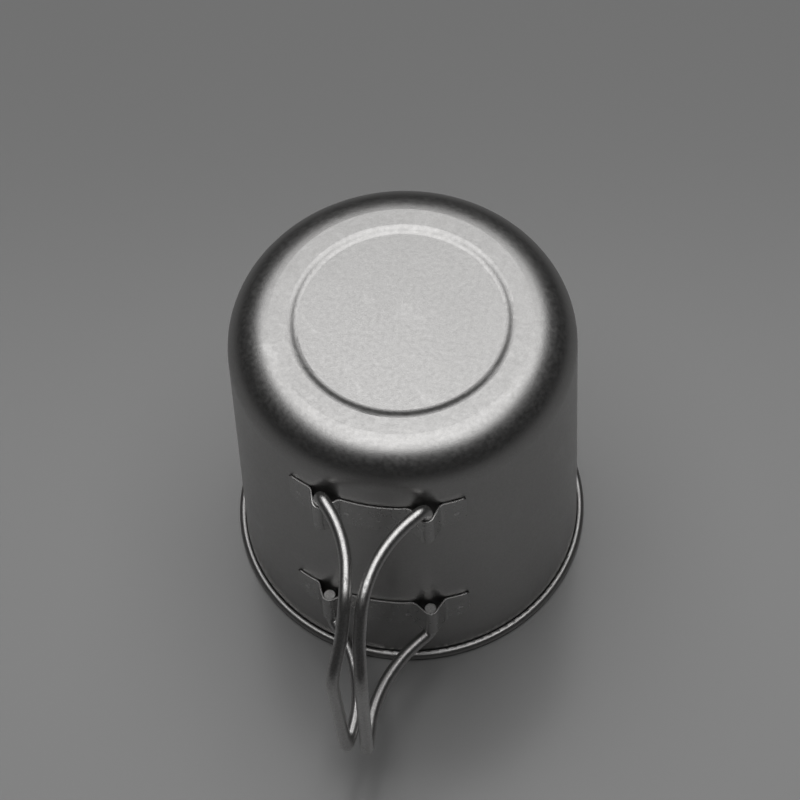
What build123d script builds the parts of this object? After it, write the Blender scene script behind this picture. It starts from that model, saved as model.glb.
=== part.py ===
from build123d import *
import math
import os

# Titanium camping pot with a folding double handle, standing mouth down on its rolled rim.
# Millimetres. The origin is the centre of the mouth on the plane the rim stands on, +Z runs
# up to the base, and the handle bracket faces -Y. Azimuths are degrees from -Y towards +X.

# pot shell
sheet = 0.5                 # thickness of the titanium sheet
pot_height = 100.6          # plane of the rim to the base ring
mouth_r = 47.5              # outside radius of the wall just inside the rim bead
wall_end_r = 46.6           # outside radius of the wall where the base corner starts
corner_r = 11.4             # outside radius of the corner between wall and base
bead_r = 1.0                # middle-line radius of the rolled rim
bead_turn = 290.0           # how far the rim is rolled round
disc_r = 28.9               # middle of the ramp round the stepped disc in the base
disc_depth = 0.6            # how far the disc is pressed in
ramp_width = 2.8            # width of that ramp

# handle wire and hinge
wire_r = 1.75               # radius of the handle wire
wire_end = 0.25             # chamfer on the cut ends of the wire
pin_play = 0.06             # running clearance of a wire pin in its channel
pin_az = 16.5               # azimuth of each hinge
pin_axis_r = 49.4           # distance of each hinge axis from the pot's axis

# brackets
bracket_height = 11.5
upper_bracket_z = 71.1      # lower edge of the bracket near the base
lower_bracket_z = 19.9      # lower edge of the bracket near the rim
ear_az = 30.0               # azimuth of the tip of each ear
channel_az = 6.2            # azimuth from the channel's middle to where its bend begins
channel_bend_r = 2.0        # middle-line radius of the bend that leads into a channel
ear_top_r = 1.4             # corner radii of an ear
ear_low_r = 4.6
weld_r = 0.8                # radius of a spot weld
weld_drop = 6.6             # upper edge of a bracket to its welds
weld_dimple = 0.1           # depth of the electrode mark
weld_dimple_r = 0.6         # radius of the electrode mark
inner_weld_az = 9.1         # azimuths of the welds on the web and on the ears
ear_weld_az = 26.6

# handle loop, as flat lengths along the wire's wrap and heights above the rim plane
wrap_r = 46.0               # radius that the whole loop is curved to
near_gap = 2.05             # wire axis to the middle plane where the two loops come closest
pin_engagement = 10.0       # length of the pin inside the upper bracket
pin_bend_r = 2.6            # bend from pin to leg
leg_rise = 3.3              # upper edge of the bracket to the upper leg's axis
leg_drop = 2.7              # lower edge of the bracket to the lower leg's axis
pin_end_drop = 0.8          # upper edge of the lower bracket to the end of the lower pin
brow_s = 31.0               # where the upper leg starts to slope down
kink_s = 47.0               # outermost point of the grip
kink_z = 66.5
heel_s = 42.2               # where the grip meets the lower leg
brow_r = 10.0
kink_r = 10.0
heel_r = 5.0
leg_step = 10.0             # spacing of the points along a leg

wall_slope = (mouth_r - wall_end_r) / (pot_height - corner_r - 2 * bead_r)


def wall_r(z):
    """Outside radius of the wall at height z."""
    return mouth_r - wall_slope * (z - 2 * bead_r)


def on_circle(radius, azimuth, z=0.0):
    """Point at an azimuth measured from -Y towards +X."""
    a = math.radians(azimuth)
    return Vector(radius * math.sin(a), -radius * math.cos(a), z)


def sheet_face(start, heading, steps):
    """Face of a bent sheet's section. Its middle line starts at a point with a heading in
    degrees, and each step is ("line", length) or ("bend", radius, turn), left turns positive."""
    sides = ([], [])
    ends = []
    for side, edges in zip((sheet / 2, -sheet / 2), sides):
        x, y = start
        angle = heading
        ends.append([])
        for step in steps:
            a = math.radians(angle)
            first = (x - side * math.sin(a), y + side * math.cos(a))
            ends[-1].append(first)
            if step[0] == "line":
                x += step[1] * math.cos(a)
                y += step[1] * math.sin(a)
                last = (x - side * math.sin(a), y + side * math.cos(a))
                edges.append(Line(first, last))
            else:
                radius, turn = step[1:]
                hand = math.copysign(1, turn)
                cx = x - hand * radius * math.sin(a)
                cy = y + hand * radius * math.cos(a)
                begin = angle - hand * 90
                angle += turn
                a = math.radians(angle)
                x = cx + hand * radius * math.sin(a)
                y = cy - hand * radius * math.cos(a)
                last = (x - side * math.sin(a), y + side * math.cos(a))
                edges.append(CenterArc((cx, cy), radius - hand * side, begin, turn))
        ends[-1].append(last)
    caps = [Line(ends[0][i], ends[1][i]) for i in (0, -1)]
    return make_face(Wire(sides[0] + sides[1] + caps))


def pot_body():
    """Drawn shell: stepped base, corner, tapered wall and rolled rim, from one sheet."""
    ramp_r = (ramp_width ** 2 + disc_depth ** 2) / (4 * disc_depth)
    ramp_turn = math.degrees(2 * math.atan(disc_depth / ramp_width))
    flare = math.degrees(math.atan(wall_slope))
    corner_mid_r = corner_r - sheet / 2
    wall_top = pot_height - corner_r + corner_r * math.sin(math.radians(flare))
    ring_length = wall_end_r - corner_r - disc_r - ramp_width / 2
    wall_length = (wall_top - bead_r - sheet / 2) / math.cos(math.radians(flare))
    steps = [
        ("line", disc_r - ramp_width / 2),
        ("bend", ramp_r, ramp_turn),
        ("bend", ramp_r, -ramp_turn),
        ("line", ring_length),
        ("bend", corner_mid_r, flare - 90),
        ("line", wall_length),
        ("bend", bead_r, bead_turn),
    ]
    start = (0.0, pot_height - disc_depth - sheet / 2)
    section = Plane.XZ * sheet_face(start, 0.0, steps)
    return revolve(section, Axis.Z, 360)


def bracket(bottom):
    """Strip that hugs the wall, with two channels for the pins and a hole at each weld."""
    strip_r = wall_r(bottom) + sheet / 2
    channel_r = wire_r + pin_play + sheet / 2
    across = (strip_r + channel_bend_r) * math.sin(math.radians(channel_az))
    out = (strip_r + channel_bend_r) * math.cos(math.radians(channel_az)) - pin_axis_r
    apart = math.hypot(across, out)
    flank = math.sqrt(apart ** 2 - (channel_bend_r + channel_r) ** 2)
    lean = math.degrees(math.asin((channel_bend_r + channel_r) / apart) - math.atan2(out, across))
    channel = [
        ("bend", channel_bend_r, channel_az - lean),
        ("line", flank),
        ("bend", channel_r, 2 * lean),
        ("line", flank),
        ("bend", channel_bend_r, channel_az - lean),
    ]
    ear = [("bend", strip_r, ear_az - pin_az - channel_az)]
    web = [("bend", strip_r, 2 * (pin_az - channel_az))]
    start = on_circle(strip_r, -ear_az)
    strip = sheet_face((start.X, start.Y), -ear_az, ear + channel + web + channel + ear)
    strip = extrude(Pos(0, 0, bottom) * strip, bracket_height, dir=(0, 0, 1))

    half_width = strip_r * math.sin(math.radians(ear_az)) + sheet
    front = Rectangle(2 * half_width, bracket_height)
    corners = front.vertices()
    front = fillet(corners.filter_by(lambda v: v.Y > 0), ear_top_r)
    corners = front.vertices()
    front = fillet(corners.filter_by(lambda v: v.Y < 0 and abs(v.X) > half_width - 0.1), ear_low_r)
    middle = bottom + bracket_height / 2
    outline = extrude(Plane.XZ * Pos(0, middle) * front, 2 * mouth_r)
    strip = strip & outline
    for weld in weld_cylinders(bottom):
        strip -= weld
    return strip


def weld_cylinders(bottom):
    """Four full-length weld cylinders of one bracket, each along its own radius."""
    z = bottom + bracket_height - weld_drop
    cylinders = []
    for azimuth in (-ear_weld_az, -inner_weld_az, inner_weld_az, ear_weld_az):
        centre = on_circle(wall_r(z), azimuth, z)
        outward = on_circle(1, azimuth)
        plane = Plane(origin=centre - outward, z_dir=outward)
        cylinders.append(plane * Cylinder(weld_r, 4, align=(Align.CENTER, Align.CENTER, Align.MIN)))
    return cylinders


def bracket_welds(bottom, pot):
    """Weld metal between wall and strip, with the electrode's dimple on the outside."""
    z = bottom + bracket_height - weld_drop
    outer_r = wall_r(bottom) + sheet
    dimple_r = (weld_dimple_r ** 2 + weld_dimple ** 2) / (2 * weld_dimple)
    skin = Pos(0, 0, z) * Cylinder(outer_r, 4 * weld_r)
    welds = []
    azimuths = (-ear_weld_az, -inner_weld_az, inner_weld_az, ear_weld_az)
    for azimuth, cylinder in zip(azimuths, weld_cylinders(bottom)):
        eye = on_circle(outer_r - weld_dimple + dimple_r, azimuth, z)
        nugget = (cylinder & skin) - pot - Pos(*eye) * Sphere(dimple_r)
        welds.append(nugget.solids().sort_by(SortBy.VOLUME)[-1])
    return Compound(children=welds)


def handle(hand):
    """Bent wire loop on one side: hand is 1 for the right handle and -1 for the left."""
    pin = on_circle(pin_axis_r, pin_az)
    rise = pin.X - near_gap
    tangent_y = pin.Y - math.sqrt(2 * wrap_r * rise - rise ** 2)
    centre_x = near_gap + wrap_r
    pin_angle = math.atan2(pin.Y - tangent_y, pin.X - centre_x)
    top_leg_z = upper_bracket_z + bracket_height + leg_rise
    low_leg_z = lower_bracket_z - leg_drop
    pin_low_end = upper_bracket_z + bracket_height - pin_engagement
    pin_high_end = lower_bracket_z + bracket_height - pin_end_drop
    leg_r = wrap_r / math.cos(leg_step / wrap_r / 2)

    def wrapped(s, z, bend):
        angle = pin_angle + s / wrap_r
        radius = leg_r if bend == "leg" else wrap_r
        return (hand * (centre_x + radius * math.cos(angle)), tangent_y + radius * math.sin(angle), z)

    outline = [
        (0, pin_low_end, None),
        (0, top_leg_z, pin_bend_r),
        (leg_step, top_leg_z, "leg"),
        (2 * leg_step, top_leg_z, "leg"),
        (brow_s, top_leg_z, brow_r),
        ((brow_s + kink_s) / 2, (top_leg_z + kink_z) / 2, "slope"),
        (kink_s, kink_z, kink_r),
        (heel_s, low_leg_z, heel_r),
        (3 * leg_step, low_leg_z, "leg"),
        (2 * leg_step, low_leg_z, "leg"),
        (leg_step, low_leg_z, "leg"),
        (0, low_leg_z, pin_bend_r),
        (0, pin_high_end, None),
    ]
    soft = {"leg": 40.0, "slope": 40.0}
    points = [wrapped(*station) for station in outline]
    radii = [soft.get(bend, bend) for s, z, bend in outline[1:-1]]
    path = FilletPolyline(*points, radius=radii)
    start = Plane(origin=points[0], z_dir=(0, 0, 1))
    wire = sweep(start * Circle(wire_r), path=path)
    cut_ends = wire.faces().filter_by(GeomType.PLANE)
    return chamfer(cut_ends.edges(), wire_end)


def build():
    pot = pot_body()
    return {
        "pot_body": pot,
        "upper_bracket": bracket(upper_bracket_z),
        "lower_bracket": bracket(lower_bracket_z),
        "upper_bracket_welds": bracket_welds(upper_bracket_z, pot),
        "lower_bracket_welds": bracket_welds(lower_bracket_z, pot),
        "left_handle": handle(-1),
        "right_handle": handle(1),
    }


os.makedirs("parts", exist_ok=True)
for name, shape in build().items():
    export_step(shape, f"parts/{name}.step")
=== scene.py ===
import bpy
import math
from mathutils import Matrix, Vector


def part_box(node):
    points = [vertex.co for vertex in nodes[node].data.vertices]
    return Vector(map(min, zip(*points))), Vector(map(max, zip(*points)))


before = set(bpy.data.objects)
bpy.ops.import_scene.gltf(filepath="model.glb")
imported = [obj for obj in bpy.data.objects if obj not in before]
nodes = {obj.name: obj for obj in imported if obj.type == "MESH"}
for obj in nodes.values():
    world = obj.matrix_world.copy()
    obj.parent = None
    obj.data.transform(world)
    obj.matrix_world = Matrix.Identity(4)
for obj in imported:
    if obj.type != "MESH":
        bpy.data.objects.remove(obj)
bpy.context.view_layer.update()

pot_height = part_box("pot_body")[1].z
mm = 0.001

# levels of the metal's colour, and the roughness of each finish
body_level = 0.46
strip_level = 0.46
weld_level = 0.58
wire_level = 0.56
body_rough = 0.38
strip_rough = 0.30
weld_rough = 0.26
wire_rough = 0.36
warmth = 0.012                          # red over blue in the titanium
scuff_warmth = 0.01
strip_edge_r = 0.22 * mm                # rounding of the strips' cut edges
grain_depth = 0.03 * mm
coarse_depth = 0.04 * mm
scuff_centre = (0.0, -0.078, 0.082)     # where the two loops come closest
floor_levels = (0.33, 0.36)
floor_rough = 0.22

# stage: directions are azimuth from -Y towards +X and elevation, in degrees
softbox_azimuth = 192
softbox_elevation = 80
softbox_distance = 1.3
softbox_size = 1.35
softbox_power = 10.8
world_level = 0.02
floor_size = 6.0
camera_azimuth = 12.48
camera_elevation = 58.64
camera_roll = -3.36
camera_aim = (-0.0028, 0.0055, 0.0501)
camera_distance = 0.95
camera_lens = 154.44


# ---------------------------------------------------------------- node helpers

def new_material(name):
    """Empty material with a Principled shader on its output."""
    material = bpy.data.materials.new(name)
    material.use_nodes = True
    tree = material.node_tree
    tree.nodes.clear()
    shader = tree.nodes.new("ShaderNodeBsdfPrincipled")
    output = tree.nodes.new("ShaderNodeOutputMaterial")
    tree.links.new(shader.outputs["BSDF"], output.inputs["Surface"])
    return material, tree, shader


def coordinates(tree, scale=(1, 1, 1)):
    """Object coordinates in metres, stretched by scale."""
    source = tree.nodes.new("ShaderNodeTexCoord")
    mapping = tree.nodes.new("ShaderNodeMapping")
    mapping.inputs["Scale"].default_value = scale
    tree.links.new(source.outputs["Object"], mapping.inputs["Vector"])
    return mapping.outputs["Vector"]


def noise(tree, vector, scale, detail=3.0, roughness=0.5, distortion=0.0):
    node = tree.nodes.new("ShaderNodeTexNoise")
    node.inputs["Scale"].default_value = scale
    node.inputs["Detail"].default_value = detail
    node.inputs["Roughness"].default_value = roughness
    node.inputs["Distortion"].default_value = distortion
    tree.links.new(vector, node.inputs["Vector"])
    return node.outputs["Fac"]


def math_node(tree, operation, first, second):
    node = tree.nodes.new("ShaderNodeMath")
    node.operation = operation
    for socket, value in zip(node.inputs, (first, second)):
        if isinstance(value, (int, float)):
            socket.default_value = value
        else:
            tree.links.new(value, socket)
    return node.outputs[0]


def remap(tree, value, low, high, out_low, out_high):
    """Linear map with clamping."""
    node = tree.nodes.new("ShaderNodeMapRange")
    node.inputs["From Min"].default_value = low
    node.inputs["From Max"].default_value = high
    node.inputs["To Min"].default_value = out_low
    node.inputs["To Max"].default_value = out_high
    tree.links.new(value, node.inputs["Value"])
    return node.outputs["Result"]


def mix_color(tree, factor, first, second, mode="MIX"):
    node = tree.nodes.new("ShaderNodeMix")
    node.data_type = "RGBA"
    node.blend_type = mode
    for socket, value in zip((node.inputs[0], node.inputs[6], node.inputs[7]), (factor, first, second)):
        if isinstance(value, (int, float, tuple)):
            socket.default_value = value
        else:
            tree.links.new(value, socket)
    return node.outputs[2]


def grey(level, tint=0.0):
    """Near-neutral colour: tint lifts red and lowers blue."""
    return (level * (1 + tint), level, level * (1 - tint), 1.0)


def bump(tree, height, distance, strength=1.0, normal=None):
    node = tree.nodes.new("ShaderNodeBump")
    node.inputs["Strength"].default_value = strength
    node.inputs["Distance"].default_value = distance
    tree.links.new(height, node.inputs["Height"])
    if normal is not None:
        tree.links.new(normal, node.inputs["Normal"])
    return node.outputs["Normal"]


# ---------------------------------------------------------------- materials

def blasted_titanium(name, level, rough, edge=None):
    """Bead-blasted titanium: peened grain, faint clouds and patches rubbed smoother. The cut
    edges of a strip are rounded by the edge radius."""
    material, tree, shader = new_material(name)
    here = coordinates(tree)
    grain = noise(tree, here, 2600, 2.0, 0.6)
    coarse = noise(tree, here, 900, 2.0, 0.5)
    clouds = noise(tree, here, 45, 3.0, 0.55)
    rubs = remap(tree, noise(tree, here, 110, 4.0, 0.6, 0.8), 0.60, 0.72, 0.0, 1.0)
    speck = remap(tree, grain, 0.35, 0.65, 0.0, 1.0)
    base = mix_color(tree, speck, grey(level * 0.93, warmth), grey(level * 1.05, warmth))
    shade = remap(tree, clouds, 0.3, 0.7, 0.97, 1.02)
    tint = mix_color(tree, 1.0, base, shade_color(tree, shade), "MULTIPLY")
    worn = mix_color(tree, math_node(tree, "MULTIPLY", rubs, 0.2), tint, grey(level * 1.15, warmth))
    tree.links.new(worn, shader.inputs["Base Color"])
    shader.inputs["Metallic"].default_value = 1.0
    dull = remap(tree, coarse, 0.3, 0.7, rough - 0.04, rough + 0.05)
    smooth = math_node(tree, "MULTIPLY", rubs, 0.05)
    tree.links.new(math_node(tree, "SUBTRACT", dull, smooth), shader.inputs["Roughness"])
    rounded = None
    if edge is not None:
        bevel = tree.nodes.new("ShaderNodeBevel")
        bevel.samples = 8
        bevel.inputs["Radius"].default_value = edge
        rounded = bevel.outputs["Normal"]
    normal = bump(tree, coarse, coarse_depth, 0.2, rounded)
    normal = bump(tree, grain, grain_depth, 0.6, normal)
    tree.links.new(normal, shader.inputs["Normal"])
    return material


def drawn_wire(name, level, rough):
    """Handle wire: drawn and lightly blasted, scuffed where the two loops rub together."""
    material, tree, shader = new_material(name)
    here = coordinates(tree)
    grain = noise(tree, here, 2200, 2.0, 0.6)
    lines = noise(tree, coordinates(tree, (3.0, 0.35, 3.0)), 900, 2.0, 0.5)
    scuffs = remap(tree, noise(tree, here, 420, 3.0, 0.65, 1.2), 0.56, 0.66, 0.0, 1.0)
    speck = remap(tree, grain, 0.35, 0.65, 0.0, 1.0)
    base = mix_color(tree, speck, grey(level * 0.84, warmth), grey(level * 1.10, warmth))
    near = tree.nodes.new("ShaderNodeVectorMath")
    near.operation = "DISTANCE"
    near.inputs[1].default_value = scuff_centre
    tree.links.new(here, near.inputs[0])
    around = remap(tree, near.outputs["Value"], 0.006, 0.022, 1.0, 0.15)
    marks = math_node(tree, "MULTIPLY", scuffs, around)
    tint = mix_color(tree, math_node(tree, "MULTIPLY", marks, 0.6), base, grey(level * 0.45, scuff_warmth))
    tree.links.new(tint, shader.inputs["Base Color"])
    shader.inputs["Metallic"].default_value = 1.0
    dull = remap(tree, lines, 0.3, 0.7, rough - 0.05, rough + 0.05)
    rougher = math_node(tree, "MULTIPLY", marks, 0.15)
    tree.links.new(math_node(tree, "ADD", dull, rougher), shader.inputs["Roughness"])
    normal = bump(tree, lines, grain_depth, 0.4)
    normal = bump(tree, grain, grain_depth, 0.7, normal)
    tree.links.new(normal, shader.inputs["Normal"])
    return material


def shade_color(tree, value):
    node = tree.nodes.new("ShaderNodeCombineColor")
    for socket in node.inputs[:3]:
        tree.links.new(value, socket)
    return node.outputs["Color"]


def floor_material():
    material, tree, shader = new_material("floor_plain")
    here = coordinates(tree)
    clouds = noise(tree, here, 3.0, 3.0)
    tint = mix_color(tree, clouds, grey(floor_levels[0]), grey(floor_levels[1]))
    tree.links.new(tint, shader.inputs["Base Color"])
    shader.inputs["Roughness"].default_value = floor_rough
    return material


def paint(obj, material):
    obj.data.materials.clear()
    obj.data.materials.append(material)


paint(nodes["pot_body"], blasted_titanium("titanium_blasted", body_level, body_rough))
bracket_finish = blasted_titanium("titanium_strip", strip_level, strip_rough, strip_edge_r)
for name in ("upper_bracket", "lower_bracket"):
    paint(nodes[name], bracket_finish)
weld_finish = blasted_titanium("titanium_weld", weld_level, weld_rough)
for name in ("upper_bracket_welds", "lower_bracket_welds"):
    paint(nodes[name], weld_finish)
wire_finish = drawn_wire("titanium_wire", wire_level, wire_rough)
for name in ("left_handle", "right_handle"):
    paint(nodes[name], wire_finish)


# ---------------------------------------------------------------- stage

def add_floor():
    bpy.ops.mesh.primitive_plane_add(size=floor_size, location=(0, 0, 0))
    floor = bpy.context.object
    floor.name = "floor"
    paint(floor, floor_material())


def add_softbox(name, azimuth, elevation, distance, width, height, power):
    """Area light aimed at the pot, its place given as a direction from the pot."""
    a = math.radians(azimuth)
    e = math.radians(elevation)
    aim = Vector((0, 0, pot_height / 2))
    away = Vector((math.sin(a) * math.cos(e), -math.cos(a) * math.cos(e), math.sin(e)))
    light = bpy.data.lights.new(name, "AREA")
    light.shape = "RECTANGLE"
    light.size = width
    light.size_y = height
    light.energy = power
    lamp = bpy.data.objects.new(name, light)
    lamp.location = aim + away * distance
    lamp.rotation_euler = away.to_track_quat("Z", "Y").to_euler()
    bpy.context.scene.collection.objects.link(lamp)


def add_world(level):
    world = bpy.data.worlds.new("studio")
    world.use_nodes = True
    background = world.node_tree.nodes["Background"]
    background.inputs["Color"].default_value = (1, 1, 1, 1)
    background.inputs["Strength"].default_value = level
    bpy.context.scene.world = world


def add_camera():
    """Camera by direction from the pot: azimuth from -Y towards +X, elevation and roll."""
    azimuth = math.radians(camera_azimuth)
    elevation = math.radians(camera_elevation)
    roll = math.radians(camera_roll)
    aim = Vector(camera_aim)
    away = Vector((
        math.sin(azimuth) * math.cos(elevation),
        -math.cos(azimuth) * math.cos(elevation),
        math.sin(elevation),
    ))
    camera = bpy.data.cameras.new("camera")
    camera.sensor_width = 36.0
    camera.lens = camera_lens
    camera.clip_end = 20.0
    body = bpy.data.objects.new("camera", camera)
    right = Vector((0, 0, 1)).cross(away).normalized()
    up = away.cross(right)
    turn = Matrix.Rotation(roll, 3, away)
    right = turn @ right
    up = turn @ up
    basis = Matrix((right, up, away)).transposed().to_4x4()
    body.matrix_world = Matrix.Translation(aim + away * camera_distance) @ basis
    bpy.context.scene.collection.objects.link(body)
    bpy.context.scene.camera = body


add_floor()
add_softbox(
    "overhead_softbox",
    softbox_azimuth,
    softbox_elevation,
    softbox_distance,
    softbox_size,
    softbox_size,
    softbox_power,
)
add_world(world_level)
add_camera()
bpy.context.scene.view_settings.view_transform = "Standard"
